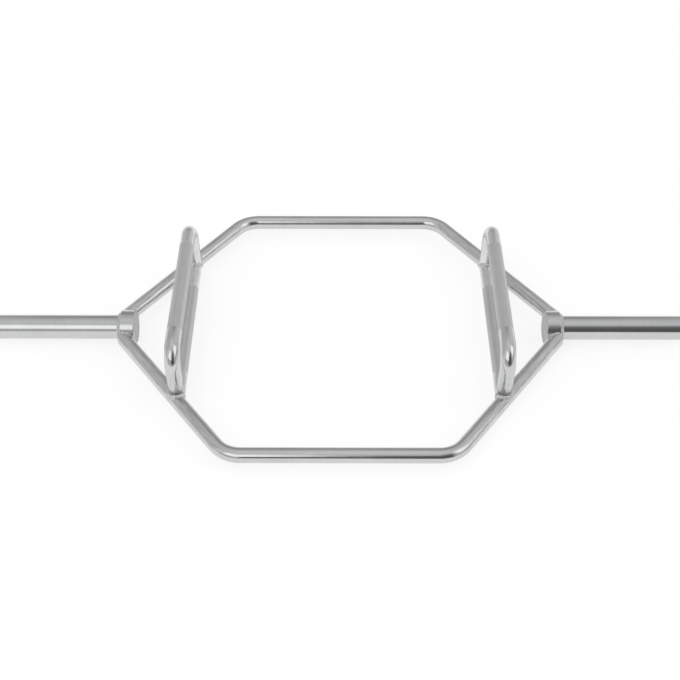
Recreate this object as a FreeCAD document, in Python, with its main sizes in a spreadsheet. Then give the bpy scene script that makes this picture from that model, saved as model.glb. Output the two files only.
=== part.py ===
# Olympic hex trap bar: two bent rails, two collars, two loading sleeves and two pairs of grips
# Millimetres, +Z up, X along the sleeves, origin on the floor under the middle of the hexagon
import FreeCAD, Part
import math
import os
import Sketcher

# Driving dimensions
SIZES = {
    "overall_length": 1422,
    # round bar of the hexagon
    "frame_dia": 30,
    "rail_spacing": 667,
    "rail_length": 432,
    "frame_bend_radius": 61,
    "leg_landing": 1.14,
    "leg_overhang": 3,
    # collars that carry the legs and the sleeves
    "collar_spacing": 874,
    "collar_dia": 70,
    "collar_length": 30,
    "collar_chamfer": 1.5,
    "plug_thickness": 5,
    "plug_recess": 0.6,
    "plug_chamfer": 1,
    # loading sleeves for plates with a 50 mm hole
    "sleeve_dia": 50,
    "sleeve_wall": 6,
    "sleeve_seat_step": 0.5,
    "sleeve_chamfer": 2,
    "sleeve_weld_length": 6,
    "sleeve_weld_height": 4,
    "cap_thickness": 4,
    "cap_spigot": 14,
    "cap_chamfer": 1.5,
    # grips
    "handle_dia": 30,
    "handle_spacing": 637,
    "raised_height": 115,
    "raised_inset": 10,
    "raised_bend_radius": 40,
    # beads at the legs and the grips, the gap between two of them
    # and the share of the bar's radius that they climb
    "weld_leg": 5,
    "bead_gap": 1,
    "bead_climb_share": 0.9,
}

# Places worked out from the driving dimensions, each after those it needs
PLACES = {
    "collar_radius": "sizes.collar_dia / 2",
    # the bar lies on its collars
    "axis_height": "collar_radius",
    "collar_inner": "sizes.collar_spacing / 2 - sizes.collar_length / 2",
    "collar_outer": "sizes.collar_spacing / 2 + sizes.collar_length / 2",
    "collar_shoulder": "collar_radius - sizes.collar_chamfer",
    "frame_radius": "sizes.frame_dia / 2",
    "rail_half": "sizes.rail_length / 2",
    "rail_offset": "sizes.rail_spacing / 2",
    # the leg's inner side meets the collar's side here, past the chamfer
    "landing_edge": "collar_inner + sizes.collar_chamfer + sizes.leg_landing",
    "edge_run_x": "landing_edge - rail_half",
    "leg_run_y": "rail_offset - collar_radius",
    "edge_run": "hypot(edge_run_x; leg_run_y)",
    # so the leg's axis, a bar's radius from that side, leaves the rail at this slope
    "leg_slope": "tan(atan2(leg_run_y; edge_run_x) - asin(frame_radius / edge_run))",
    "leg_run_x": "leg_run_y / leg_slope",
    # and meets the collar's side and the sleeve's axis here
    "landing_x": "rail_half + leg_run_x",
    "apex_x": "landing_x + collar_radius * leg_run_x / leg_run_y",
    "leg_length": "hypot(apex_x - rail_half; rail_offset)",
    "leg_trim": "collar_outer + sizes.leg_overhang",
    "plug_face": "collar_inner + sizes.plug_recess",
    "sleeve_start": "plug_face + sizes.plug_thickness",
    "sleeve_radius": "sizes.sleeve_dia / 2",
    "seat_radius": "sleeve_radius - sizes.sleeve_seat_step",
    "bore_radius": "sleeve_radius - sizes.sleeve_wall",
    "weld_toe": "collar_outer + sizes.sleeve_weld_length",
    "bar_end": "sizes.overall_length / 2",
    "sleeve_end": "bar_end - sizes.cap_thickness",
    "cap_radius": "sleeve_radius - sizes.sleeve_chamfer",
    "handle_radius": "sizes.handle_dia / 2",
    "handle_x": "sizes.handle_spacing / 2",
    # a grip ends on the leg's axis
    "handle_end": "rail_offset * (apex_x - handle_x) / (apex_x - rail_half)",
    # and a raised grip's posts stand further in, over the low grip's ends
    "post_y": "handle_end - sizes.raised_inset",
    "bead_climb": "sizes.bead_climb_share * frame_radius",
    # far enough past a grip's end to take in the whole of its bead
    "zone_reach": "2 * (sizes.handle_dia + sizes.frame_dia)",
}
LEG_ANGLE = "atan2(leg_run_y; leg_run_x)"

SIDES = {"left": -1, "right": 1}
ENDS = {"front": -1, "rear": 1}

doc = FreeCAD.newDocument("hex_trap_bar")
nodes = {}


def fill_sheet():
    sheet = doc.addObject("Spreadsheet::Sheet", "sizes")
    for row, (alias, value) in enumerate(SIZES.items(), start=1):
        sheet.set(f"A{row}", alias)
        sheet.set(f"B{row}", str(value))
        sheet.setAlias(f"B{row}", alias)
    doc.recompute()


def fill_places():
    places = doc.addObject("App::VarSet", "places")
    for name, expression in PLACES.items():
        places.addProperty("App::PropertyFloat", name, "places")
        places.setExpression(name, expression)
        doc.recompute()
    places.addProperty("App::PropertyAngle", "leg_angle", "places")
    places.setExpression("leg_angle", LEG_ANGLE)
    doc.recompute()
    return places


def keep(label, piece):
    piece.Label = label
    nodes[label] = piece
    return piece


# Sketches

def origin_feature(body, role):
    return next(item for item in body.Origin.OriginFeatures if item.Role == role)


def new_sketch(body, name, role):
    sketch = body.newObject("Sketcher::SketchObject", name)
    sketch.AttachmentSupport = [(origin_feature(body, role), "")]
    sketch.MapMode = "FlatFace"
    return sketch


def value_of(expression):
    return float(places.evalExpression(expression))


def spot(corner):
    return FreeCAD.Vector(value_of(corner[0]), value_of(corner[1]), 0)


def drive(sketch, kind, *where, expression):
    constraint = Sketcher.Constraint(kind, *where, value_of(expression))
    index = sketch.addConstraint(constraint)
    sketch.setExpression(f"Constraints[{index}]", expression)


def pin_point(sketch, geometry, point, corner):
    drive(sketch, "DistanceX", -1, 1, geometry, point, expression=corner[0])
    drive(sketch, "DistanceY", -1, 1, geometry, point, expression=corner[1])


def draw_outline(sketch, corners):
    spots = [spot(corner) for corner in corners]
    lines = []
    for start, stop in zip(spots, spots[1:] + spots[:1]):
        lines.append(sketch.addGeometry(Part.LineSegment(start, stop), False))
    for line, following in zip(lines, lines[1:] + lines[:1]):
        sketch.addConstraint(Sketcher.Constraint("Coincident", line, 2, following, 1))
    for line, corner in zip(lines, corners):
        pin_point(sketch, line, 1, corner)


def draw_circle(sketch, centre, radius):
    ring = Part.Circle(spot(centre), FreeCAD.Vector(0, 0, 1), value_of(radius))
    circle = sketch.addGeometry(ring, False)
    drive(sketch, "Radius", circle, expression=radius)
    pin_point(sketch, circle, 3, centre)


def draw_bent_path(sketch, corners, radius):
    # a level run, a tangent arc that turns left and a second run, which the caller directs
    first, bend, last = [spot(corner) for corner in corners]
    size = value_of(radius)
    into = (bend - first).normalize()
    away = (last - bend).normalize()
    inward = (away - into).normalize()
    reach = size * math.tan(into.getAngle(away) / 2)
    entry = bend - into * reach
    leave = bend + away * reach
    middle = bend + inward * (math.hypot(reach, size) - size)
    run_in = sketch.addGeometry(Part.LineSegment(first, entry), False)
    arc = sketch.addGeometry(Part.Arc(entry, middle, leave), False)
    run_out = sketch.addGeometry(Part.LineSegment(leave, last), False)
    sketch.addConstraint(Sketcher.Constraint("Tangent", run_in, 2, arc, 1))
    sketch.addConstraint(Sketcher.Constraint("Tangent", arc, 2, run_out, 1))
    sketch.addConstraint(Sketcher.Constraint("Horizontal", run_in))
    drive(sketch, "Radius", arc, expression=radius)
    pin_point(sketch, run_in, 1, corners[0])
    pin_point(sketch, run_out, 2, corners[-1])
    return run_out


# Solids

def seat_body(body, x="0", half_turn=False):
    turn = 180 if half_turn else 0
    body.setExpression(
        "Placement",
        f"placement(vector({x}; 0; places.axis_height); rotation(vector(0; 0; 1); {turn}))",
    )


def turned_piece(label, side, corners):
    # corners are distance along the sleeve's axis and radius
    body = doc.addObject("PartDesign::Body", label)
    sketch = new_sketch(body, label + "_section", "XZ_Plane")
    draw_outline(sketch, corners)
    spin = body.newObject("PartDesign::Revolution", label + "_turned")
    spin.Profile = sketch
    spin.ReferenceAxis = (origin_feature(body, "X_Axis"), [""])
    spin.Angle = 360
    seat_body(body, half_turn=side < 0)
    return keep(label, body)


def bent_bar(body, label, planes, centre, radius, corners, bend_radius):
    # a round bar along half a path, mirrored in its own section's plane into the whole
    section_plane, path_plane = planes
    section = new_sketch(body, label + "_section", section_plane)
    draw_circle(section, centre, radius)
    path = new_sketch(body, label + "_path", path_plane)
    last_run = draw_bent_path(path, corners, bend_radius)
    pipe = body.newObject("PartDesign::AdditivePipe", label + "_half")
    pipe.Profile = section
    pipe.Spine = (path, [])
    mirror = body.newObject("PartDesign::Mirrored", label + "_whole")
    mirror.Originals = [pipe]
    mirror.MirrorPlane = (origin_feature(body, section_plane), [""])
    body.Tip = mirror
    return path, last_run


def boolean(kind, name, base, tool):
    result = doc.addObject("Part::" + kind, name)
    result.Base = base
    result.Tool = tool
    return result


def fused(name, shapes):
    result = doc.addObject("Part::MultiFuse", name)
    result.Shapes = shapes
    return result


def round_tool(name, radius, length, base, yaw, pitch):
    # a plain cylinder from base, its axis turned down from +Z by pitch and round +Z by yaw
    tool = doc.addObject("Part::Cylinder", name)
    tool.setExpression("Radius", radius)
    tool.setExpression("Height", length)
    tool.setExpression("Placement", f"placement(vector({base}); rotation({yaw}; {pitch}; 0 deg))")
    return tool


def leg_yaw(side, end):
    return f"{90 + 90 * side} deg - {side * end} * places.leg_angle"


def leg_tool(name, side, end, growth="0"):
    return round_tool(
        name,
        f"places.frame_radius + {growth}",
        "places.leg_length",
        f"{side} * places.apex_x; 0; places.axis_height",
        leg_yaw(side, end),
        "90 deg",
    )


def collar_tool(name, side, growth="0"):
    return round_tool(
        name,
        f"places.collar_radius + {growth}",
        "sizes.collar_length - 2 * sizes.collar_chamfer",
        f"{side} * (places.collar_inner + sizes.collar_chamfer); 0; places.axis_height",
        f"{90 - 90 * side} deg",
        "90 deg",
    )


def grip_tool(name, side, growth="0"):
    return round_tool(
        name,
        f"places.handle_radius + {growth}",
        "2 * places.handle_end",
        f"{side} * places.handle_x; -places.handle_end; places.axis_height",
        "90 deg",
        "90 deg",
    )


def post_tool(name, side, end, growth="0"):
    # its seam faces the middle of the hexagon, clear of the beads
    return round_tool(
        name,
        f"places.handle_radius + {growth}",
        "sizes.raised_height - sizes.raised_bend_radius",
        f"{side} * places.handle_x; {end} * places.post_y; places.axis_height",
        f"{90 + 90 * side} deg",
        "0 deg",
    )


def bead_zone(name, side, end, yaw, along, across, lift):
    # a box at a grip's end, as (start, stop) along one of its bars, across it and above its axis
    zone = doc.addObject("Part::Box", name)
    for edge, (start, stop) in zip(("Length", "Width", "Height"), (along, across, lift)):
        zone.setExpression(edge, f"{stop} - ({start})")
    base = f"vector({side} * places.handle_x; {end} * places.handle_end; places.axis_height)"
    turn = f"rotation({yaw}; 0 deg; 0 deg)"
    corner = f"vector({along[0]}; {across[0]}; {lift[0]})"
    level = "rotation(0 deg; 0 deg; 0 deg)"
    zone.setExpression("Placement", f"placement({base}; {turn}) * placement({corner}; {level})")
    return zone


# Rails

def make_rail(end_name, end):
    label = f"{end_name}_frame_rail"
    body = doc.addObject("PartDesign::Body", label)
    middle = ("0", "-places.rail_offset")
    corner = ("places.rail_half", "-places.rail_offset")
    apex = ("places.apex_x", "0")
    path, leg_run = bent_bar(
        body,
        label,
        planes=("YZ_Plane", "XY_Plane"),
        centre=("-places.rail_offset", "0"),
        radius="places.frame_radius",
        corners=[middle, corner, apex],
        bend_radius="sizes.frame_bend_radius",
    )
    lean = Sketcher.Constraint("Angle", leg_run, math.radians(value_of("leg_angle")))
    path.setExpression(f"Constraints[{path.addConstraint(lean)}]", "places.leg_angle")
    cope = new_sketch(body, label + "_cope", "YZ_Plane")
    draw_circle(cope, ("0", "0"), "places.collar_radius")
    cut_through(body, label + "_coped", cope)
    trim = new_sketch(body, label + "_trim", "XY_Plane")
    for side in SIDES.values():
        draw_outline(trim, trim_corners(side))
    cut_through(body, label + "_trimmed", trim)
    seat_body(body, half_turn=end > 0)
    return keep(label, body)


def trim_corners(side):
    near, far = f"{side} * places.leg_trim", f"{side} * (places.apex_x + sizes.frame_dia)"
    low, high = "-places.collar_radius - sizes.frame_dia", "sizes.frame_dia"
    return [(near, low), (far, low), (far, high), (near, high)]


def cut_through(body, name, sketch):
    doc.recompute()
    before = body.Shape.Volume
    pocket = body.newObject("PartDesign::Pocket", name)
    pocket.Profile = sketch
    pocket.Type = "ThroughAll"
    pocket.SideType = "Symmetric"
    doc.recompute()
    if not body.Shape.Volume < before:
        raise RuntimeError(f"{name} cut nothing")


# Collars and sleeves

def make_collar(side_name, side):
    return turned_piece(f"{side_name}_collar", side, [
        ("places.collar_inner", "places.seat_radius"),
        ("places.collar_outer", "places.seat_radius"),
        ("places.collar_outer", "places.collar_shoulder"),
        ("places.collar_outer - sizes.collar_chamfer", "places.collar_radius"),
        ("places.collar_inner + sizes.collar_chamfer", "places.collar_radius"),
        ("places.collar_inner", "places.collar_shoulder"),
    ])


def make_plug(side_name, side):
    return turned_piece(f"{side_name}_collar_plug", side, [
        ("places.plug_face", "0"),
        ("places.sleeve_start", "0"),
        ("places.sleeve_start", "places.seat_radius"),
        ("places.plug_face + sizes.plug_chamfer", "places.seat_radius"),
        ("places.plug_face", "places.seat_radius - sizes.plug_chamfer"),
    ])


def make_sleeve(side_name, side):
    return turned_piece(f"{side_name}_sleeve", side, [
        ("places.sleeve_start", "places.bore_radius"),
        ("places.sleeve_end", "places.bore_radius"),
        ("places.sleeve_end", "places.sleeve_radius - sizes.sleeve_chamfer"),
        ("places.sleeve_end - sizes.sleeve_chamfer", "places.sleeve_radius"),
        ("places.weld_toe", "places.sleeve_radius"),
        ("places.weld_toe", "places.seat_radius"),
        ("places.sleeve_start", "places.seat_radius"),
    ])


def make_end_cap(side_name, side):
    return turned_piece(f"{side_name}_sleeve_end_cap", side, [
        ("places.sleeve_end - sizes.cap_spigot", "0"),
        ("places.bar_end", "0"),
        ("places.bar_end", "places.cap_radius - sizes.cap_chamfer"),
        ("places.bar_end - sizes.cap_chamfer", "places.cap_radius"),
        ("places.sleeve_end", "places.cap_radius"),
        ("places.sleeve_end", "places.bore_radius"),
        ("places.sleeve_end - sizes.cap_spigot", "places.bore_radius"),
    ])


def make_sleeve_weld(side_name, side):
    # climbs part of the collar's end face and ends flush with the sleeve
    return turned_piece(f"{side_name}_sleeve_weld", side, [
        ("places.collar_outer", "places.seat_radius"),
        ("places.weld_toe", "places.seat_radius"),
        ("places.weld_toe", "places.sleeve_radius"),
        ("places.collar_outer", "places.sleeve_radius + sizes.sleeve_weld_height"),
    ])


# Grips

def make_low_handle(side_name, side):
    label = f"{side_name}_low_handle"
    body = doc.addObject("PartDesign::Body", label + "_bar")
    section = new_sketch(body, label + "_section", "XZ_Plane")
    draw_circle(section, ("0", "0"), "places.handle_radius")
    pad = body.newObject("PartDesign::Pad", label + "_pad")
    pad.Profile = section
    pad.SideType = "Symmetric"
    pad.setExpression("Length", "2 * places.handle_end")
    seat_body(body, x=f"{side} * places.handle_x")
    legs = [leg_tool(f"{label}_{name}_leg", side, end) for name, end in ENDS.items()]
    return keep(label, boolean("Cut", label, body, fused(label + "_legs", legs)))


def make_raised_handle(side_name, side, low_handle):
    label = f"{side_name}_raised_handle"
    body = doc.addObject("PartDesign::Body", label + "_bar")
    middle = ("0", "sizes.raised_height")
    corner = ("-places.post_y", "sizes.raised_height")
    foot = ("-places.post_y", "0")
    path, post_run = bent_bar(
        body,
        label,
        planes=("XZ_Plane", "YZ_Plane"),
        centre=middle,
        radius="places.handle_radius",
        corners=[middle, corner, foot],
        bend_radius="sizes.raised_bend_radius",
    )
    path.addConstraint(Sketcher.Constraint("Vertical", post_run))
    seat_body(body, x=f"{side} * places.handle_x")
    legs = [leg_tool(f"{label}_{name}_leg", side, end) for name, end in ENDS.items()]
    seats = fused(label + "_seats", legs + [low_handle])
    return keep(label, boolean("Cut", label, body, seats))


# Beads

def bead(name, branch, branch_grown, main, main_grown):
    # what lies within the weld's leg of both bars and inside neither
    ring = boolean("Cut", name + "_ring", branch_grown, branch)
    near = boolean("Common", name + "_near", ring, main_grown)
    return boolean("Cut", name, near, main)


def make_leg_weld(side_name, side, end_name, end):
    label = f"{side_name}_{end_name}_leg_weld"
    return keep(label, bead(
        label,
        leg_tool(label + "_leg", side, end),
        leg_tool(label + "_leg_grown", side, end, "sizes.weld_leg"),
        collar_tool(label + "_collar", side),
        collar_tool(label + "_collar_grown", side, "sizes.weld_leg"),
    ))


def make_low_handle_welds(side_name, side):
    label = f"{side_name}_low_handle_welds"
    inner_half = ("0", "places.zone_reach")
    outer_half = ("-places.zone_reach", "0")
    beads = []
    for end_name, end in ENDS.items():
        name = f"{label}_{end_name}"
        whole = bead(
            name + "_whole",
            grip_tool(name + "_grip", side),
            grip_tool(name + "_grip_grown", side, "sizes.weld_leg"),
            leg_tool(name + "_leg", side, end),
            leg_tool(name + "_leg_grown", side, end, "sizes.weld_leg"),
        )
        across = inner_half if side * end > 0 else outer_half
        # the sharp corner towards the collar, over the bar's whole side
        sharp = bead_zone(
            name + "_sharp_zone", side, end, leg_yaw(side, end),
            ("-places.zone_reach", "-places.handle_radius - sizes.weld_leg - sizes.raised_inset"),
            across,
            ("-places.bead_climb", "places.bead_climb"),
        )
        # the wide corner towards the rail, below the raised grip's foot
        wide = bead_zone(
            name + "_wide_zone", side, end, leg_yaw(side, end),
            ("-places.handle_radius", "places.zone_reach"),
            across,
            ("-places.bead_climb", "-sizes.bead_gap"),
        )
        beads.append(boolean("Common", name + "_sharp", whole, sharp))
        beads.append(boolean("Common", name + "_wide", whole, wide))
    return keep(label, fused(label, beads))


def make_raised_handle_welds(side_name, side, low_handle):
    label = f"{side_name}_raised_handle_welds"
    beads = []
    for end_name, end in ENDS.items():
        name = f"{label}_{end_name}"
        whole = bead(
            name + "_whole",
            post_tool(name + "_post", side, end),
            post_tool(name + "_post_grown", side, end, "sizes.weld_leg"),
            leg_tool(name + "_leg", side, end),
            leg_tool(name + "_leg_grown", side, end, "sizes.weld_leg"),
        )
        # round the post on the leg's top
        leg_top = bead_zone(
            name + "_leg_zone", side, end, leg_yaw(side, end),
            ("-places.zone_reach", "places.zone_reach"),
            ("-places.bead_climb", "places.bead_climb"),
            ("0", "places.zone_reach"),
        )
        on_leg = boolean("Common", name + "_on_leg", whole, leg_top)
        beads.append(boolean("Cut", name + "_leg_bead", on_leg, low_handle))
        # and on the low grip's top, inwards of the post
        grip_whole = bead(
            name + "_grip_whole",
            post_tool(name + "_grip_post", side, end),
            post_tool(name + "_grip_post_grown", side, end, "sizes.weld_leg"),
            grip_tool(name + "_grip", side),
            grip_tool(name + "_grip_grown", side, "sizes.weld_leg"),
        )
        grip_top = bead_zone(
            name + "_grip_zone", side, end, f"{-90 * end} deg",
            ("sizes.raised_inset", "places.zone_reach"),
            ("-places.bead_climb", "places.bead_climb"),
            ("0", "places.zone_reach"),
        )
        on_grip = boolean("Common", name + "_on_grip", grip_whole, grip_top)
        beads.append(boolean("Cut", name + "_grip_bead", on_grip, leg_tool(name + "_grip_leg", side, end)))
    return keep(label, fused(label, beads))


# Assembly

def build():
    for end_name, end in ENDS.items():
        make_rail(end_name, end)
    for side_name, side in SIDES.items():
        make_collar(side_name, side)
        make_plug(side_name, side)
        make_sleeve(side_name, side)
        make_end_cap(side_name, side)
        make_sleeve_weld(side_name, side)
        low_handle = make_low_handle(side_name, side)
        make_raised_handle(side_name, side, low_handle)
        for end_name, end in ENDS.items():
            make_leg_weld(side_name, side, end_name, end)
        make_raised_handle_welds(side_name, side, low_handle)
        make_low_handle_welds(side_name, side)
    doc.recompute()


def check():
    for item in doc.Objects:
        if "Invalid" in item.State or "Error" in item.State:
            raise RuntimeError(f"{item.Label} failed: {item.State}")
    for label, piece in nodes.items():
        if piece.Shape.isNull() or not piece.Shape.isValid() or not piece.Shape.Solids:
            raise RuntimeError(f"{label} has no valid solid")


def write():
    os.makedirs("parts", exist_ok=True)
    for label, piece in nodes.items():
        piece.Shape.exportStep(f"parts/{label}.step")
        print(f"{label}: {len(piece.Shape.Solids)} solids, {piece.Shape.Volume / 1000:.1f} cm3")


fill_sheet()
places = fill_places()
build()
check()
write()
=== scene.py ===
import math
import bmesh
import bpy
from mathutils import Matrix, Vector


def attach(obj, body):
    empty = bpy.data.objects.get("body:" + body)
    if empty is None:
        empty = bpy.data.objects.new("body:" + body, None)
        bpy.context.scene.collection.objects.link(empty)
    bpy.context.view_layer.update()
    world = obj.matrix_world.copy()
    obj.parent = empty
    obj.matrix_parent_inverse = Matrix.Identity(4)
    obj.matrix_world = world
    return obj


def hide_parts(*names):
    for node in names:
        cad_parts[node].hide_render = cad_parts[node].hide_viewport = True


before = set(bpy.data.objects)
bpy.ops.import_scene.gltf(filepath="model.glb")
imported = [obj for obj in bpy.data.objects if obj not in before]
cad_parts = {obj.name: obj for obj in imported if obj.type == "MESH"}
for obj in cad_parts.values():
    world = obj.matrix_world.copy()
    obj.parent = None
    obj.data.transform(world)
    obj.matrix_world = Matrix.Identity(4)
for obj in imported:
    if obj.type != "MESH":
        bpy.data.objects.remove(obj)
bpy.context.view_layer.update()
print("frame loaded:", len(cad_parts), "nodes")

# left and right are -x and +x, front is -y, everything in metres
sides = {"left": -1, "right": 1}
ends = {"front": -1, "rear": 1}
axisHeight = 0.035  # of the sleeves, the rails and the low grips
upward = Vector((0, 0, 1))
touching = 1e-6  # points nearer than this are one
nearly = 1e-5


# nodes for the materials and the world

def newTree(owner):
    owner.use_nodes = True
    owner.node_tree.nodes.clear()
    return owner.node_tree


def addNode(tree, kind, **settings):
    node = tree.nodes.new(kind)
    for name, value in settings.items():
        setattr(node, name, value)
    return node


def feed(tree, socket, source):
    if isinstance(source, bpy.types.NodeSocket):
        tree.links.new(source, socket)
    else:
        socket.default_value = source


def calc(tree, operation, first, second=0.0):
    node = addNode(tree, "ShaderNodeMath", operation=operation)
    feed(tree, node.inputs[0], first)
    feed(tree, node.inputs[1], second)
    return node.outputs[0]


def remap(tree, value, low, high, toLow, toHigh, curve="LINEAR"):
    node = addNode(tree, "ShaderNodeMapRange", interpolation_type=curve)
    feed(tree, node.inputs["Value"], value)
    node.inputs["From Min"].default_value = low
    node.inputs["From Max"].default_value = high
    node.inputs["To Min"].default_value = toLow
    node.inputs["To Max"].default_value = toHigh
    return node.outputs[0]


def noise(tree, place, scale, detail=3.0, roughness=0.55):
    node = addNode(tree, "ShaderNodeTexNoise")
    feed(tree, node.inputs["Vector"], place)
    node.inputs["Scale"].default_value = scale
    node.inputs["Detail"].default_value = detail
    node.inputs["Roughness"].default_value = roughness
    return node.outputs["Fac"]


def stretched(tree, place, scale):
    node = addNode(tree, "ShaderNodeMapping")
    feed(tree, node.inputs["Vector"], place)
    node.inputs["Scale"].default_value = scale
    return node.outputs[0]


def tintBetween(tree, value, dark, light):
    node = addNode(tree, "ShaderNodeValToRGB")
    feed(tree, node.inputs[0], value)
    node.color_ramp.elements[0].color = (*dark, 1)
    node.color_ramp.elements[1].color = (*light, 1)
    return node.outputs[0]


def bumped(tree, height, distance, strength, under=None):
    node = addNode(tree, "ShaderNodeBump")
    feed(tree, node.inputs["Height"], height)
    node.inputs["Distance"].default_value = distance
    feed(tree, node.inputs["Strength"], strength)
    if under is not None:
        feed(tree, node.inputs["Normal"], under)
    return node.outputs[0]


def platedShader(tree, colour, roughness, normal):
    shader = addNode(tree, "ShaderNodeBsdfPrincipled")
    shader.inputs["Metallic"].default_value = 1.0
    feed(tree, shader.inputs["Base Color"], colour)
    feed(tree, shader.inputs["Roughness"], roughness)
    feed(tree, shader.inputs["Normal"], normal)
    output = addNode(tree, "ShaderNodeOutputMaterial")
    tree.links.new(shader.outputs[0], output.inputs["Surface"])


# finishes

brightPlating = {
    "dark": (0.530, 0.535, 0.545),
    "light": (0.675, 0.677, 0.680),
    "tintRange": (0.3, 0.7),
    "smearScale": 11,
    "smearRange": (0.42, 0.72),
    "smearRough": 0.075,
    "pitScale": 620,
    "pitRange": (0.70, 0.78),
    "pitRough": 0.2,
    "pitTint": 0.4,
    "lineRange": (0.45, 0.75),
    "lineRough": 0.05,
    "lineDepth": 0.000012,
    "lineStrength": 0.5,
    "waveDepth": 0.00035,
    "waveStrength": 0.28,
    "mottleDepth": 0.0008,
    "dressedMottle": 1.2,
    "dressedRough": 0.40,
    "dressedTint": 7.0,
}


def makeBrightPlating(name, onBar, gloss, mottle, lineScale, waveScale, mottleScale):
    # chrome over stock that isn't quite even, its fine lines along a bar or round a turned piece
    look = brightPlating
    finish = bpy.data.materials.new(name)
    tree = newTree(finish)
    place = addNode(tree, "ShaderNodeTexCoord")
    surface = place.outputs["UV" if onBar else "Object"]
    solid = place.outputs["Object"]
    lines = noise(tree, stretched(tree, surface, lineScale), 1.0, 4.0, 0.62)
    waves = noise(tree, stretched(tree, surface, waveScale), 1.0, 2.0, 0.4)
    smears = noise(tree, solid, look["smearScale"], 5.0, 0.6)
    pits = noise(tree, solid, look["pitScale"], 2.0, 0.5)
    uneven = noise(tree, stretched(tree, surface, mottleScale), 1.0, 3.0, 0.6)
    pitted = remap(tree, pits, *look["pitRange"], 0.0, 1.0)
    smeared = remap(tree, smears, *look["smearRange"], gloss, gloss + look["smearRough"], "SMOOTHSTEP")
    lined = remap(tree, lines, *look["lineRange"], 0.0, look["lineRough"])
    pitRough = calc(tree, "MULTIPLY", pitted, look["pitRough"])
    rough = calc(tree, "ADD", calc(tree, "ADD", smeared, lined), pitRough)
    streaked = calc(tree, "ADD", calc(tree, "MULTIPLY", smears, 0.5), calc(tree, "MULTIPLY", lines, 0.5))
    pitTint = calc(tree, "MULTIPLY", pitted, look["pitTint"])
    tint = calc(tree, "SUBTRACT", remap(tree, streaked, *look["tintRange"], 0.0, 1.0), pitTint)
    if onBar:
        # the legs and the grips' feet were dressed after welding, so they are coarser under the plating
        dressed = addNode(tree, "ShaderNodeAttribute", attribute_name="dressed").outputs["Fac"]
        mottle = calc(tree, "ADD", mottle, calc(tree, "MULTIPLY", dressed, look["dressedMottle"]))
        coarse = calc(tree, "POWER", dressed, 2.0)
        rough = calc(tree, "ADD", rough, calc(tree, "MULTIPLY", coarse, look["dressedRough"]))
        patchy = calc(tree, "MULTIPLY", calc(tree, "SUBTRACT", uneven, 0.5), look["dressedTint"])
        tint = calc(tree, "ADD", tint, calc(tree, "MULTIPLY", dressed, patchy))
    colour = tintBetween(tree, tint, look["dark"], look["light"])
    normal = bumped(tree, waves, look["waveDepth"], look["waveStrength"])
    normal = bumped(tree, uneven, look["mottleDepth"], mottle, normal)
    normal = bumped(tree, lines, look["lineDepth"], look["lineStrength"], normal)
    platedShader(tree, colour, rough, normal)
    return finish


facedPlatingPaintedShade = {
    # dark and light are set low as painted shade, for the shaded floor that the faced ends mirror; the stains
    # between them are real
    "dark": (0.350, 0.352, 0.358),
    "light": (0.440, 0.441, 0.444),
    "stainScale": 70,
    "rough": (0.34, 0.44),  # in the rings' valleys and on their crests
    "ringScale": 1500,
    "ringDepth": 0.00003,
    "ringStrength": 0.4,
}


def makeFacedPlatingPaintedShade():
    # faced ends are plated over the lathe's rings, so they stay satin; their colour is also kept dark as
    # painted shade, standing in for the shaded floor beside the collars that the ends mirror
    finish = bpy.data.materials.new("facedPlatingPaintedShade")
    tree = newTree(finish)
    place = addNode(tree, "ShaderNodeTexCoord").outputs["Object"]
    parts = addNode(tree, "ShaderNodeSeparateXYZ")
    tree.links.new(place, parts.inputs[0])
    lift = calc(tree, "SUBTRACT", parts.outputs[2], axisHeight)
    sidewaysSquare = calc(tree, "POWER", parts.outputs[1], 2.0)
    liftSquare = calc(tree, "POWER", lift, 2.0)
    fromAxis = calc(tree, "SQRT", calc(tree, "ADD", sidewaysSquare, liftSquare))
    turned = addNode(tree, "ShaderNodeCombineXYZ")
    tree.links.new(fromAxis, turned.inputs[0])
    rings = noise(tree, turned.outputs[0], facedPlatingPaintedShade["ringScale"], 2.0)
    stains = noise(tree, place, facedPlatingPaintedShade["stainScale"], 4.0)
    colour = tintBetween(tree, stains, facedPlatingPaintedShade["dark"], facedPlatingPaintedShade["light"])
    rough = remap(tree, rings, 0.3, 0.7, *facedPlatingPaintedShade["rough"])
    normal = bumped(tree, rings, facedPlatingPaintedShade["ringDepth"], facedPlatingPaintedShade["ringStrength"])
    platedShader(tree, colour, rough, normal)
    return finish


knurlPlating = {
    "groove": (0.54, 0.54, 0.55),
    "crest": (0.76, 0.76, 0.765),
    "rough": (0.42, 0.24),  # in the grooves and on the crests
    "wearScale": 22,
    "rubbed": (0.55, 1.0),  # least and most
    "grainScale": 2600,
    "grainDepth": 0.00002,
    "grainStrength": 0.35,
}


def makeKnurlPlating():
    # crests are rubbed bright and the grooves are given a darker colour
    finish = bpy.data.materials.new("knurlPlating")
    tree = newTree(finish)
    place = addNode(tree, "ShaderNodeTexCoord").outputs["Object"]
    crest = addNode(tree, "ShaderNodeAttribute", attribute_name="crest").outputs["Fac"]
    wear = noise(tree, place, knurlPlating["wearScale"], 4.0)
    grain = noise(tree, place, knurlPlating["grainScale"], 2.0)
    rubbed = calc(tree, "MULTIPLY", crest, remap(tree, wear, 0.3, 0.7, *knurlPlating["rubbed"]))
    colour = tintBetween(tree, rubbed, knurlPlating["groove"], knurlPlating["crest"])
    rough = remap(tree, rubbed, 0.0, 1.0, *knurlPlating["rough"])
    normal = bumped(tree, grain, knurlPlating["grainDepth"], knurlPlating["grainStrength"])
    platedShader(tree, colour, rough, normal)
    return finish


beadPlating = {
    "dark": (0.50, 0.50, 0.51),
    "light": (0.76, 0.76, 0.765),
    "rough": (0.52, 0.30),  # in the dark patches and in the light ones
    "patchScale": 210,
    "patchDepth": 0.0008,
    "patchStrength": 0.6,
    "grainScale": 1500,
    "grainDepth": 0.00004,
    "grainStrength": 0.3,
}


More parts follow.
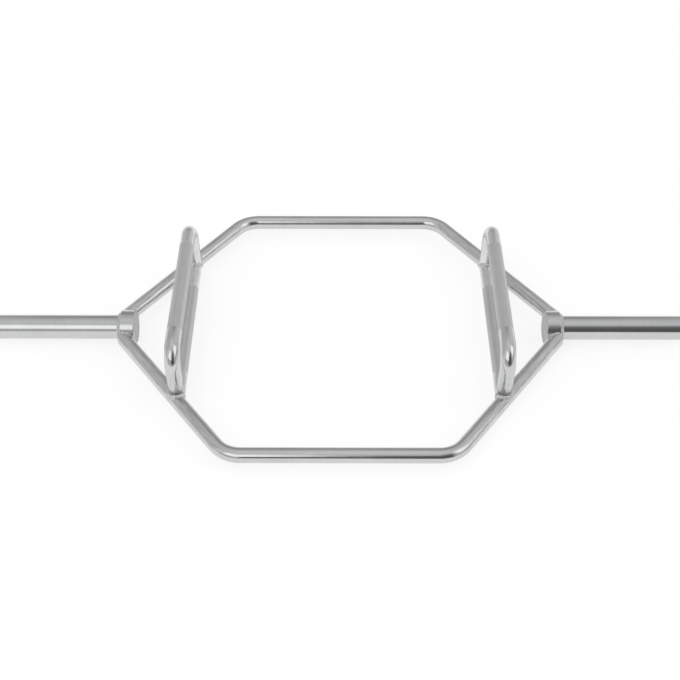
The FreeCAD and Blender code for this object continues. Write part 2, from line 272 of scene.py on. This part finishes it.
def makeBeadPlating():
    # weld metal under the plating, a little duller and uneven
    finish = bpy.data.materials.new("beadPlating")
    tree = newTree(finish)
    place = addNode(tree, "ShaderNodeTexCoord").outputs["Object"]
    patches = noise(tree, place, beadPlating["patchScale"], 4.0)
    grain = noise(tree, place, beadPlating["grainScale"], 3.0)
    colour = tintBetween(tree, patches, beadPlating["dark"], beadPlating["light"])
    rough = remap(tree, patches, 0.3, 0.7, *beadPlating["rough"])
    normal = bumped(tree, patches, beadPlating["patchDepth"], beadPlating["patchStrength"])
    normal = bumped(tree, grain, beadPlating["grainDepth"], beadPlating["grainStrength"], normal)
    platedShader(tree, colour, rough, normal)
    return finish


barChrome = makeBrightPlating("barChrome", onBar=True, gloss=0.055, mottle=0.10,
                              lineScale=(520, 14, 1), waveScale=(26, 9, 1), mottleScale=(330, 36, 1))
sleeveChrome = makeBrightPlating("sleeveChrome", onBar=False, gloss=0.055, mottle=0.04,
                                 lineScale=(1400, 60, 60), waveScale=(10, 22, 22), mottleScale=(90, 90, 90))
collarChrome = makeBrightPlating("collarChrome", onBar=False, gloss=0.14, mottle=0.12,
                                 lineScale=(1900, 60, 60), waveScale=(30, 30, 30), mottleScale=(170, 170, 170))
facedChromePaintedShade = makeFacedPlatingPaintedShade()
knurlChrome = makeKnurlPlating()
beadChrome = makeBeadPlating()
print("finishes made")


# tools for the meshes

def ringEdges(ring):
    members = set(ring)
    return list({edge for vert in ring for edge in vert.link_edges if edge.other_vert(vert) in members})


def onlyVerts(geometry):
    return [item for item in geometry if isinstance(item, bmesh.types.BMVert)]


def startBar(bm, barSides, radius, centre, heading):
    # each vertex keeps its place round the bar and its distance along it
    around = bm.verts.layers.float.new("around")
    bm.verts.layers.float.new("along")
    bm.verts.layers.float.new("dressed")
    turn = heading.to_track_quat("Z", "X").to_matrix().to_4x4()
    place = Matrix.Translation(centre) @ turn
    ring = bmesh.ops.create_circle(bm, segments=barSides, radius=radius, matrix=place)["verts"]
    for number, vert in enumerate(ring):
        vert[around] = number / barSides
    return ring


def addAlong(bm, ring, distance):
    along = bm.verts.layers.float["along"]
    for vert in ring:
        vert[along] += distance


def dress(bm, marks):
    # marks pair a distance along the bar with the dressed share there
    along = bm.verts.layers.float["along"]
    dressed = bm.verts.layers.float["dressed"]
    for vert in bm.verts:
        vert[dressed] = marks[0][1] if vert[along] <= marks[0][0] else marks[-1][1]
        for (start, low), (stop, high) in zip(marks, marks[1:]):
            if start < vert[along] <= stop:
                vert[dressed] = low + (high - low) * (vert[along] - start) / (stop - start)


def pullRing(bm, ring, step):
    fresh = onlyVerts(bmesh.ops.extrude_edge_only(bm, edges=ringEdges(ring))["geom"])
    bmesh.ops.translate(bm, verts=fresh, vec=step)
    addAlong(bm, fresh, step.length)
    return fresh


def turnRing(bm, ring, centre, axis, angle, steps, bendRadius):
    for number in range(steps):
        made = bmesh.ops.spin(bm, geom=ring + ringEdges(ring), cent=centre, axis=axis,
                              angle=angle / steps, steps=1, use_duplicate=False)
        ring = onlyVerts(made["geom_last"])
        addAlong(bm, ring, bendRadius * abs(angle) / steps)
    return ring


def wrapBar(bm, circumference):
    # uv in metres round and along the bar, so that the finish keeps its scale
    around = bm.verts.layers.float["around"]
    along = bm.verts.layers.float["along"]
    wrap = bm.loops.layers.uv.new("wrap")
    for face in bm.faces:
        turns = [loop.vert[around] for loop in face.loops]
        seam = max(turns) - min(turns) > 0.5
        for loop, turn in zip(face.loops, turns):
            whole = 1 if seam and turn < 0.5 else 0
            loop[wrap].uv = ((turn + whole) * circumference, loop.vert[along])


def sharperThan(bm, degrees):
    limit = math.radians(degrees)
    return [edge for edge in bm.edges if len(edge.link_faces) == 2 and edge.calc_face_angle() > limit]


def smoothFaces(bm, breakAngle=38):
    for face in bm.faces:
        face.smooth = True
    for edge in sharperThan(bm, breakAngle):
        edge.smooth = False


def roundEdges(bm, edges, offset, merge):
    bmesh.ops.bevel(bm, geom=edges, offset=offset, affect="EDGES", segments=3, profile=0.5,
                    material=-1, clamp_overlap=True)
    bmesh.ops.remove_doubles(bm, verts=bm.verts, dist=merge)


def wholeMesh(bm):
    return bm.verts[:] + bm.edges[:] + bm.faces[:]


def finishPiece(name, bm, finishes, node, evenNormals=False):
    mesh = bpy.data.meshes.new(name)
    bm.to_mesh(mesh)
    bm.free()
    for finish in finishes:
        mesh.materials.append(finish)
    piece = bpy.data.objects.new(name, mesh)
    bpy.context.scene.collection.objects.link(piece)
    if evenNormals:
        piece.modifiers.new("evenNormals", "WEIGHTED_NORMAL").keep_sharp = True
    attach(piece, "root")
    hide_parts(node)


# rails, each bent from one round bar

railBar = {
    "radius": 0.015,
    "offset": 0.3335,
    "half": 0.216,
    "bendRadius": 0.061,
    "apex": 0.470175,
    "trim": 0.455,
    "hiddenEnd": 0.030,
    "endRound": 0.0014,
    "sides": 72,
    "bendSteps": 20,
    "dressed": 0.4,
}
legAngle = math.atan2(railBar["offset"], railBar["apex"] - railBar["half"])


def makeRail(endName, end):
    bm = bmesh.new()
    y = end * railBar["offset"]
    bend = railBar["bendRadius"]
    reach = bend * math.tan(legAngle / 2)
    bendStart = railBar["half"] - reach
    ring = startBar(bm, railBar["sides"], railBar["radius"], Vector((0, y, axisHeight)), Vector((1, 0, 0)))
    ring = pullRing(bm, ring, Vector((bendStart, 0, 0)))
    centre = Vector((bendStart, y - end * bend, axisHeight))
    ring = turnRing(bm, ring, centre, -end * upward, legAngle, railBar["bendSteps"], bend)
    legRun = math.hypot(railBar["offset"], railBar["apex"] - railBar["half"]) - reach
    pullRing(bm, ring, Vector((math.cos(legAngle), -end * math.sin(legAngle), 0)) * legRun)
    dress(bm, [(bendStart, 0.0), (bendStart + bend * legAngle, railBar["dressed"])])
    # the leg's end is cut flush past the collar, and inside the collar's wall
    cuts = [(Vector((railBar["trim"], 0, 0)), Vector((1, 0, 0))),
            (Vector((0, end * railBar["hiddenEnd"], 0)), Vector((0, -end, 0)))]
    for corner, away in cuts:
        bmesh.ops.bisect_plane(bm, geom=wholeMesh(bm), dist=touching, plane_co=corner, plane_no=away,
                               clear_outer=True)
        openEdges = [edge for edge in bm.edges if edge.is_boundary and edge.verts[0].co.x > railBar["half"]]
        bmesh.ops.holes_fill(bm, edges=openEdges, sides=0)
    atTrim = [edge for edge in bm.edges
              if all(abs(vert.co.x - railBar["trim"]) < nearly for vert in edge.verts)
              and max(abs(vert.co.y) for vert in edge.verts) > railBar["hiddenEnd"] + nearly]
    roundEdges(bm, atTrim, railBar["endRound"], nearly)
    bmesh.ops.mirror(bm, geom=wholeMesh(bm), axis="X", merge_dist=nearly)
    bmesh.ops.recalc_face_normals(bm, faces=bm.faces)
    smoothFaces(bm)
    wrapBar(bm, 2 * math.pi * railBar["radius"])
    finishPiece(endName + "Rail", bm, [barChrome], endName + "_frame_rail")


for endName, end in ends.items():
    makeRail(endName, end)
print("rails bent")


# turned pieces on the sleeves' axis

collarRadius = 0.035
collarRing = {
    "profile": [(0.422, 0.0245), (0.452, 0.0245), (0.452, 0.0335), (0.4505, collarRadius),
                (0.4235, collarRadius), (0.422, 0.0335)],
    "round": 0.0006,
}
collarPlug = {
    "profile": [(0.4226, 0), (0.4276, 0), (0.4276, 0.0245), (0.4236, 0.0245), (0.4226, 0.0235)],
    "round": 0.0003,
}
loadingSleeve = {
    "profile": [(0.4276, 0.019), (0.707, 0.019), (0.707, 0.023), (0.705, 0.025), (0.458, 0.025),
                (0.458, 0.0245), (0.4276, 0.0245)],
    "round": 0.0005,
}
sleeveCap = {
    "profile": [(0.693, 0), (0.711, 0), (0.711, 0.0215), (0.7095, 0.023), (0.707, 0.023), (0.707, 0.019),
                (0.693, 0.019)],
    "round": 0.0004,
}
turning = {
    "steps": 144,
    "corner": 20,  # degrees, sharper edges are rounded
    "faced": 0.98,  # of the normal along the axis, flatter faces are the ends
}


def turnPiece(name, node, side, settings, finish):
    bm = bmesh.new()
    corners = [bm.verts.new((side * along, 0, radius)) for along, radius in settings["profile"]]
    pairs = zip(corners, corners[1:] + corners[:1])
    lines = [bm.edges.new(pair) for pair in pairs if max(vert.co.z for vert in pair) > 0]
    bmesh.ops.spin(bm, geom=corners + lines, cent=(0, 0, 0), axis=(1, 0, 0), angle=2 * math.pi,
                   steps=turning["steps"], use_merge=True, use_duplicate=False)
    bmesh.ops.remove_doubles(bm, verts=bm.verts, dist=touching)
    bmesh.ops.recalc_face_normals(bm, faces=bm.faces)
    roundEdges(bm, sharperThan(bm, turning["corner"]), settings["round"], touching)
    bmesh.ops.recalc_face_normals(bm, faces=bm.faces)
    bmesh.ops.translate(bm, verts=bm.verts, vec=upward * axisHeight)
    smoothFaces(bm)
    # the ends along the axis take the faced finish, whose dark colour is painted shade
    for face in bm.faces:
        face.material_index = 1 if abs(face.normal.x) > turning["faced"] else 0
    finishPiece(name, bm, [finish, facedChromePaintedShade], node, evenNormals=True)


for sideName, side in sides.items():
    turnPiece(sideName + "Collar", sideName + "_collar", side, collarRing, collarChrome)
    turnPiece(sideName + "CollarPlug", sideName + "_collar_plug", side, collarPlug, collarChrome)
    turnPiece(sideName + "Sleeve", sideName + "_sleeve", side, loadingSleeve, sleeveChrome)
    turnPiece(sideName + "SleeveCap", sideName + "_sleeve_end_cap", side, sleeveCap, sleeveChrome)
print("collars and sleeves turned")


# grips with a diamond knurl between smooth ends

gripBar = {
    "radius": 0.015,
    "x": 0.3185,
    "end": 0.199011,
    "sides": 96,
    "dressed": (0.8, 0.25),  # at the welds and where the knurl starts
}
knurl = {
    "half": 0.1225,
    "raisedShift": -0.002,  # the cut isn't quite in the middle of the grips
    "lowShift": -0.010,
    "lead": 0.0008,
    "depth": 0.00035,
    "doublings": 7,
}
raisedGrip = {
    "height": 0.115,
    "inset": 0.010,  # of the posts, from the low grips' ends
    "bendRadius": 0.040,
    "bendSteps": 26,
    "footRun": 0.045,
    "dressed": (0.85, 0.6),  # at the weld and up the foot
}


def knurlRun(bm, ring, heading):
    # grooves on alternate vertices of alternate rings leave a field of diamonds
    around = bm.verts.layers.float["around"]
    along = bm.verts.layers.float["along"]
    crest = bm.verts.layers.float["crest"]
    deep = 1 - knurl["depth"] / gripBar["radius"]
    plainFaces = len(bm.faces)
    step = heading * ((knurl["half"] - knurl["lead"]) / 2 ** knurl["doublings"])
    rows = [pullRing(bm, ring, heading * knurl["lead"])]
    rows.append(pullRing(bm, rows[0], step))
    rows.append(pullRing(bm, rows[1], step))
    for number, row in enumerate(rows):
        centre = sum((vert.co for vert in row), Vector()) / len(row)
        sunk = [vert for vert in row if (round(vert[around] * gripBar["sides"]) + number) % 2]
        bmesh.ops.scale(bm, vec=(deep,) * 3, space=Matrix.Translation(-centre), verts=sunk)
        for vert in sunk:
            vert[crest] = 0.0
    # one pair of rows, doubled along the grip
    bm.faces.ensure_lookup_table()
    cut = bm.faces[plainFaces + gripBar["sides"]:]
    reach = step * 2
    for number in range(knurl["doublings"]):
        made = bmesh.ops.duplicate(bm, geom=cut)["geom"]
        fresh = onlyVerts(made)
        bmesh.ops.translate(bm, verts=fresh, vec=reach)
        addAlong(bm, fresh, reach.length)
        cut += [item for item in made if isinstance(item, bmesh.types.BMFace)]
        reach = reach * 2
    far = max(vert[along] for vert in bm.verts)
    lastRow = [vert for vert in bm.verts if vert[along] > far - step.length / 2]
    ring = pullRing(bm, lastRow, heading * knurl["lead"])
    centre = sum((vert.co for vert in ring), Vector()) / len(ring)
    lifted = [vert for vert in ring if vert[crest] < 0.5]
    bmesh.ops.scale(bm, vec=(1 / deep,) * 3, space=Matrix.Translation(-centre), verts=lifted)
    for vert in lifted:
        vert[crest] = 1.0
    bm.faces.ensure_lookup_table()
    for face in bm.faces[plainFaces:]:
        face.material_index = 1
    bmesh.ops.remove_doubles(bm, verts=bm.verts, dist=touching)
    return ring


def finishGrip(name, bm, node, marks):
    far = max(vert[bm.verts.layers.float["along"]] for vert in bm.verts)
    dress(bm, marks + [(far - distance, share) for distance, share in reversed(marks)])
    bmesh.ops.recalc_face_normals(bm, faces=bm.faces)
    smoothFaces(bm)
    wrapBar(bm, 2 * math.pi * gripBar["radius"])
    cut = [face for face in bm.faces if face.material_index == 1]
    bmesh.ops.triangulate(bm, faces=cut, quad_method="SHORT_EDGE")
    for face in bm.faces:
        if face.material_index == 1:
            face.smooth = False
    bmesh.ops.holes_fill(bm, edges=[edge for edge in bm.edges if edge.is_boundary], sides=0)
    finishPiece(name, bm, [barChrome, knurlChrome], node)


def startGrip(bm, centre, heading):
    crest = bm.verts.layers.float.new("crest")
    ring = startBar(bm, gripBar["sides"], gripBar["radius"], centre, heading)
    for vert in ring:
        vert[crest] = 1.0
    return ring


def makeLowGrip(sideName, side):
    bm = bmesh.new()
    heading = Vector((0, 1, 0))
    start = Vector((side * gripBar["x"], -gripBar["end"], axisHeight))
    plain = gripBar["end"] - knurl["half"]
    ring = startGrip(bm, start, heading)
    ring = pullRing(bm, ring, heading * (plain + knurl["lowShift"]))
    ring = knurlRun(bm, ring, heading)
    pullRing(bm, ring, heading * (plain - knurl["lowShift"]))
    atWeld, atKnurl = gripBar["dressed"]
    finishGrip(sideName + "LowGrip", bm, sideName + "_low_handle", [(0.0, atWeld), (plain, atKnurl)])


def makeRaisedGrip(sideName, side):
    bm = bmesh.new()
    x = side * gripBar["x"]
    bend = raisedGrip["bendRadius"]
    bendSteps = raisedGrip["bendSteps"]
    bendHeight = axisHeight + raisedGrip["height"] - bend
    heading = Vector((0, 1, 0))
    foot = gripBar["end"] - raisedGrip["inset"]
    straight = foot - bend
    plain = straight - knurl["half"]
    ring = startGrip(bm, Vector((x, -foot, axisHeight)), upward)
    post = raisedGrip["height"] - bend
    ring = pullRing(bm, ring, upward * raisedGrip["footRun"])
    ring = pullRing(bm, ring, upward * (post - raisedGrip["footRun"]))
    axis = Vector((-1, 0, 0))
    ring = turnRing(bm, ring, Vector((x, -straight, bendHeight)), axis, math.pi / 2, bendSteps, bend)
    ring = pullRing(bm, ring, heading * (plain + knurl["raisedShift"]))
    ring = knurlRun(bm, ring, heading)
    ring = pullRing(bm, ring, heading * (plain - knurl["raisedShift"]))
    ring = turnRing(bm, ring, Vector((x, straight, bendHeight)), axis, math.pi / 2, bendSteps, bend)
    ring = pullRing(bm, ring, -upward * (post - raisedGrip["footRun"]))
    pullRing(bm, ring, -upward * raisedGrip["footRun"])
    atWeld, upFoot = raisedGrip["dressed"]
    marks = [(0.0, atWeld), (raisedGrip["footRun"], upFoot), (post, 0.0)]
    finishGrip(sideName + "RaisedGrip", bm, sideName + "_raised_handle", marks)


for sideName, side in sides.items():
    makeLowGrip(sideName, side)
    makeRaisedGrip(sideName, side)
print("grips knurled")


# weld beads, each a rippled run along a seam, round but for the fillets at the raised grips' feet

weldBead = {
    "sides": 12,
    "ripple": 0.0024,
    "ringsPerRipple": 4,
    "sway": 0.7,  # the hand's unevenness as a share of the ripple, over two counts of ripples
    "swayRipples": (6.5, 2.6),
    "swayLag": 1,
    "endShare": 0.45,
    "endRings": 4,
    "breakAngle": 80,
}
seamSamples = 240
legSeam = {"radius": 0.0033, "ripple": 0.09, "from": 8, "to": -188}
footSeam = {"radius": 0.0077, "flat": 0.48, "ripple": 0.13, "from": 27, "to": 326}  # degrees round the post
lowSeam = {"radius": 0.0034, "ripple": 0.09, "foot": -64, "sharpTop": 46, "wideTop": -8}
sleeveSeam = {"radius": 0.0045, "ripple": 0.11, "x": 0.4540, "ringRadius": 0.0246}


def evenly(curve, start, stop, spacing):
    # points at equal steps along a curve of one angle
    samples = [curve(start + (stop - start) * number / seamSamples) for number in range(seamSamples + 1)]
    lengths = [0.0]
    for before, after in zip(samples, samples[1:]):
        lengths.append(lengths[-1] + (after - before).length)
    count = round(lengths[-1] / spacing)
    points = []
    place = 0
    for number in range(count + 1):
        target = lengths[-1] * number / count
        while place < seamSamples - 1 and lengths[place + 1] < target:
            place += 1
        span = lengths[place + 1] - lengths[place]
        points.append(samples[place].lerp(samples[place + 1], (target - lengths[place]) / span))
    return points


def layBead(bm, points, seamRun, closed=False, outwards=None):
    perRipple = weldBead["ringsPerRipple"]
    count = len(points) - 1
    slow, quick = (round(count / (perRipple * ripples)) for ripples in weldBead["swayRipples"])
    for number, point in enumerate(points):
        ahead = points[number + 1] if number < count else (points[1] if closed else point)
        behind = points[number - 1] if number else (points[-2] if closed else point)
        heading = (ahead - behind).normalized()
        size = seamRun["radius"] * (1 + seamRun["ripple"] * ((number % perRipple) / perRipple - 0.5))
        along = 2 * math.pi * number / count
        sway = math.sin(along * slow) + math.sin(along * quick + weldBead["swayLag"])
        size *= 1 + seamRun["ripple"] * weldBead["sway"] * sway
        fromEnd = min(number, count - number)
        if not closed and fromEnd < weldBead["endRings"]:
            share = weldBead["endShare"]
            size *= share + (1 - share) * math.sin(math.pi / 2 * fromEnd / weldBead["endRings"])
        if number == 0:
            place = Matrix.Translation(point) @ heading.to_track_quat("Z", "X").to_matrix().to_4x4()
            ring = bmesh.ops.create_circle(bm, segments=weldBead["sides"], radius=size, matrix=place)["verts"]
            firstRing = ringEdges(ring)
        else:
            ring = onlyVerts(bmesh.ops.extrude_edge_only(bm, edges=ringEdges(ring))["geom"])
            bmesh.ops.translate(bm, verts=ring, vec=point - points[number - 1])
            turn = lastHeading.rotation_difference(heading).to_matrix()
            bmesh.ops.rotate(bm, verts=ring, cent=point, matrix=turn)
            bmesh.ops.scale(bm, vec=(size / lastSize,) * 3, space=Matrix.Translation(-point), verts=ring)
        if outwards:
            # flattened into a fillet, which faces outwards here
            flat = Matrix.Scale(seamRun["flat"], 4, outwards[number])
            if number:
                flat = flat @ Matrix.Scale(1 / seamRun["flat"], 4, turn @ outwards[number - 1])
            bmesh.ops.transform(bm, matrix=flat, space=Matrix.Translation(-point), verts=ring)
        lastHeading, lastSize = heading, size
    if not closed:
        bmesh.ops.edgeloop_fill(bm, edges=firstRing)
        bmesh.ops.edgeloop_fill(bm, edges=ringEdges(ring))


def finishBead(name, bm, node):
    bmesh.ops.remove_doubles(bm, verts=bm.verts, dist=touching)
    bmesh.ops.recalc_face_normals(bm, faces=bm.faces)
    smoothFaces(bm, weldBead["breakAngle"])
    finishPiece(name, bm, [beadChrome], node)


def beadSpacing():
    return weldBead["ripple"] / weldBead["ringsPerRipple"]


def makeSleeveBead(sideName, side):
    middle = Vector((side * sleeveSeam["x"], 0, axisHeight))
    reach = sleeveSeam["ringRadius"]
    ripples = round(2 * math.pi * reach / weldBead["ripple"])
    steps = ripples * weldBead["ringsPerRipple"]
    points = []
    for number in range(steps + 1):
        turn = 2 * math.pi * (number % steps) / steps
        points.append(middle + Vector((0, math.cos(turn), math.sin(turn))) * reach)
    bm = bmesh.new()
    layBead(bm, points, sleeveSeam, closed=True)
    finishBead(sideName + "SleeveBead", bm, sideName + "_sleeve_weld")


def makeLegBead(sideName, side, endName, end):
    legX, legY = math.cos(legAngle), math.sin(legAngle)
    barRadius = railBar["radius"]

    def seam(degrees):
        turn = math.radians(degrees)
        across = barRadius * math.sin(turn)
        lift = barRadius * math.cos(turn)
        run = (math.sqrt(collarRadius ** 2 - lift ** 2) - across * legX) / legY
        x = railBar["apex"] - run * legX + across * legY
        y = run * legY + across * legX
        return Vector((side * x, end * y, axisHeight + lift))

    bm = bmesh.new()
    layBead(bm, evenly(seam, legSeam["from"], legSeam["to"], beadSpacing()), legSeam)
    name = sideName + endName.capitalize() + "LegBead"
    finishBead(name, bm, f"{sideName}_{endName}_leg_weld")


def gripCorner(side, end):
    # where a grip's axis meets the leg's, the leg's way to the rail and the grip's way inwards
    corner = Vector((side * gripBar["x"], end * gripBar["end"], axisHeight))
    toRail = Vector((-side * math.cos(legAngle), end * math.sin(legAngle), 0))
    return corner, toRail, Vector((0, -end, 0))


def makeRaisedBeads(sideName, side):
    # one run round each post, over the leg and over the low grip
    bm = bmesh.new()
    radius = gripBar["radius"]
    level = Vector((1, 1, 0))
    for end in ends.values():
        corner, toRail, inwards = gripCorner(side, end)
        fromCorner = inwards * raisedGrip["inset"]

        def seam(degrees):
            turn = math.radians(degrees)
            out = fromCorner + (Vector((-side, 0, 0)) * math.cos(turn) - inwards * math.sin(turn)) * radius
            offLeg = (out - toRail * out.dot(toRail)).length
            onLeg = math.sqrt(max(0, radius ** 2 - offLeg ** 2))
            onGrip = radius * abs(math.sin(turn)) if out.dot(inwards) > 0 else 0
            return corner + out + upward * max(onLeg, onGrip)

        points = evenly(seam, footSeam["from"], footSeam["to"], beadSpacing())
        fromPost = [((point - corner - fromCorner) * level).normalized() for point in points]
        layBead(bm, points, footSeam, outwards=[(away + upward).normalized() for away in fromPost])
    finishBead(sideName + "RaisedGripBeads", bm, sideName + "_raised_handle_welds")


def makeLowBeads(sideName, side):
    bm = bmesh.new()
    for end in ends.values():
        corner, toRail, inwards = gripCorner(side, end)
        for way, top in ((-toRail, lowSeam["sharpTop"]), (toRail, lowSeam["wideTop"])):
            middle = (inwards + way).normalized()
            reach = gripBar["radius"] / math.sin(inwards.angle(way) / 2)

            def seam(degrees):
                turn = math.radians(degrees)
                return corner + middle * reach * math.cos(turn) + upward * gripBar["radius"] * math.sin(turn)

            layBead(bm, evenly(seam, lowSeam["foot"], top, beadSpacing()), lowSeam)
    finishBead(sideName + "LowGripBeads", bm, sideName + "_low_handle_welds")


for sideName, side in sides.items():
    makeSleeveBead(sideName, side)
    for endName, end in ends.items():
        makeLegBead(sideName, side, endName, end)
    makeRaisedBeads(sideName, side)
    makeLowBeads(sideName, side)
print("beads laid")


# floor, light and camera

studioFloor = {"size": 40.0, "colour": (0.31, 0.31, 0.31), "glow": 0.765}


def makeFloor():
    bm = bmesh.new()
    bmesh.ops.create_grid(bm, x_segments=1, y_segments=1, size=studioFloor["size"])
    mesh = bpy.data.meshes.new("studioFloor")
    bm.to_mesh(mesh)
    bm.free()
    floor = bpy.data.objects.new("studioFloor", mesh)
    bpy.context.scene.collection.objects.link(floor)
    finish = bpy.data.materials.new("paleFloor")
    tree = newTree(finish)
    path = addNode(tree, "ShaderNodeLightPath")
    seen = calc(tree, "MAXIMUM", path.outputs["Is Camera Ray"], path.outputs["Is Glossy Ray"])
    seen = calc(tree, "MAXIMUM", seen, path.outputs["Is Transmission Ray"])
    matt = addNode(tree, "ShaderNodeBsdfDiffuse")
    matt.inputs["Color"].default_value = (*studioFloor["colour"], 1)
    glow = addNode(tree, "ShaderNodeEmission")
    feed(tree, glow.inputs["Strength"], calc(tree, "MULTIPLY", seen, studioFloor["glow"]))
    both = addNode(tree, "ShaderNodeAddShader")
    tree.links.new(matt.outputs[0], both.inputs[0])
    tree.links.new(glow.outputs[0], both.inputs[1])
    output = addNode(tree, "ShaderNodeOutputMaterial")
    tree.links.new(both.outputs[0], output.inputs["Surface"])
    mesh.materials.append(finish)


# the room that the chrome mirrors, in degrees round from the front and up from the floor
studioRoom = {
    "walls": 0.72,
    "zenith": 1.06,
    "brighter": (45, 88),  # up from the walls' light to the zenith's
    # soft edges in degrees: at the sides, at the bottom, at the top
    "panels": {
        "left wall": {"around": (-128, -82), "up": (-10, 58), "soft": (10, 5, 14), "light": 0.78},
        "left window": {"around": (-78, -56), "up": (-10, 58), "soft": (7, 5, 14), "light": 1.0},
        "right box": {"around": (55, 97), "up": (24, 62), "soft": (7, 8, 8), "light": 1.75},
        "right wall": {"around": (100, 152), "up": (-10, 60), "soft": (14, 5, 16), "light": 0.90},
        "front strip": {"around": (-53, -3), "up": (25.5, 58), "soft": (5, 4, 9), "light": 1.7},
        "front skirting": {"around": (-9, 6), "up": (11, 26), "soft": (3, 4, 4), "light": 0.13},
        "dark corner": {"around": (1, 40), "up": (5, 43), "soft": (5, 5, 8), "light": 0.16},
        "dark corner above": {"around": (12, 48), "up": (37, 56), "soft": (7, 6, 12), "light": 0.24},
        "rear gap": {"around": (161, 199), "up": (11, 43), "soft": (7, 6, 7), "light": 0.50},
    },
}


def panelMask(tree, around, up, panel):
    sideways, below, above = panel["soft"]
    start, stop = panel["around"]
    bottom, top = panel["up"]
    edges = [(around, start, sideways, 0.0, 1.0), (around, stop, sideways, 1.0, 0.0),
             (up, bottom, below, 0.0, 1.0), (up, top, above, 1.0, 0.0)]
    mask = 1.0
    for value, edge, soft, before, after in edges:
        fade = remap(tree, value, edge - soft, edge + soft, before, after, "SMOOTHSTEP")
        mask = calc(tree, "MULTIPLY", mask, fade)
    return mask


def makeRoom():
    world = bpy.data.worlds.new("studioRoom")
    bpy.context.scene.world = world
    tree = newTree(world)
    way = addNode(tree, "ShaderNodeSeparateXYZ")
    tree.links.new(addNode(tree, "ShaderNodeTexCoord").outputs["Generated"], way.inputs[0])
    x, y, z = way.outputs
    around = calc(tree, "DEGREES", calc(tree, "ARCTAN2", x, calc(tree, "MULTIPLY", y, -1.0)))
    up = calc(tree, "DEGREES", calc(tree, "ARCSINE", z))
    light = remap(tree, up, *studioRoom["brighter"], studioRoom["walls"], studioRoom["zenith"])
    behind = calc(tree, "FLOORED_MODULO", around, 360.0)  # unbroken where the other jumps
    for panel in studioRoom["panels"].values():
        mask = panelMask(tree, behind if panel["around"][1] > 180 else around, up, panel)
        change = calc(tree, "SUBTRACT", panel["light"], light)
        light = calc(tree, "ADD", light, calc(tree, "MULTIPLY", mask, change))
    back = addNode(tree, "ShaderNodeBackground")
    feed(tree, back.inputs["Strength"], light)
    output = addNode(tree, "ShaderNodeOutputWorld")
    tree.links.new(back.outputs[0], output.inputs["Surface"])


softKey = {"place": (-0.9, -1.6, 2.6), "size": 2.4, "power": 9.0}


def makeKey():
    lamp = bpy.data.lights.new("softKey", "AREA")
    lamp.size = softKey["size"]
    lamp.energy = softKey["power"]
    holder = bpy.data.objects.new("softKey", lamp)
    holder.location = softKey["place"]
    holder.rotation_euler = (-Vector(softKey["place"])).to_track_quat("-Z", "Y").to_euler()
    holder.visible_glossy = False
    bpy.context.scene.collection.objects.link(holder)


photoCamera = {
    "place": (0.001733, -1.602418, 1.675433),
    "yaw": -0.086725,
    "pitch": 46.332277,
    "roll": 0.044867,
    "focalPixels": 1107.1,
    "frame": 680,
    "sensor": 36.0,
    "nearest": 0.01,
}


def makeCamera():
    yaw, pitch, roll = (math.radians(photoCamera[name]) for name in ("yaw", "pitch", "roll"))
    ahead = Vector((math.sin(yaw) * math.cos(pitch), math.cos(yaw) * math.cos(pitch), -math.sin(pitch)))
    level = Vector((math.cos(yaw), -math.sin(yaw), 0))
    above = level.cross(ahead)
    right = level * math.cos(roll) + above * math.sin(roll)
    top = above * math.cos(roll) - level * math.sin(roll)
    lens = bpy.data.cameras.new("photoCamera")
    lens.sensor_fit = "HORIZONTAL"
    lens.sensor_width = photoCamera["sensor"]
    lens.lens = photoCamera["sensor"] * photoCamera["focalPixels"] / photoCamera["frame"]
    lens.clip_start = photoCamera["nearest"]
    camera = bpy.data.objects.new("photoCamera", lens)
    turn = Matrix((right, top, -ahead)).transposed().to_4x4()
    camera.matrix_world = Matrix.Translation(photoCamera["place"]) @ turn
    bpy.context.scene.collection.objects.link(camera)
    bpy.context.scene.camera = camera


makeFloor()
makeRoom()
makeKey()
makeCamera()
bpy.context.scene.view_settings.view_transform = "Standard"
print("studio set")
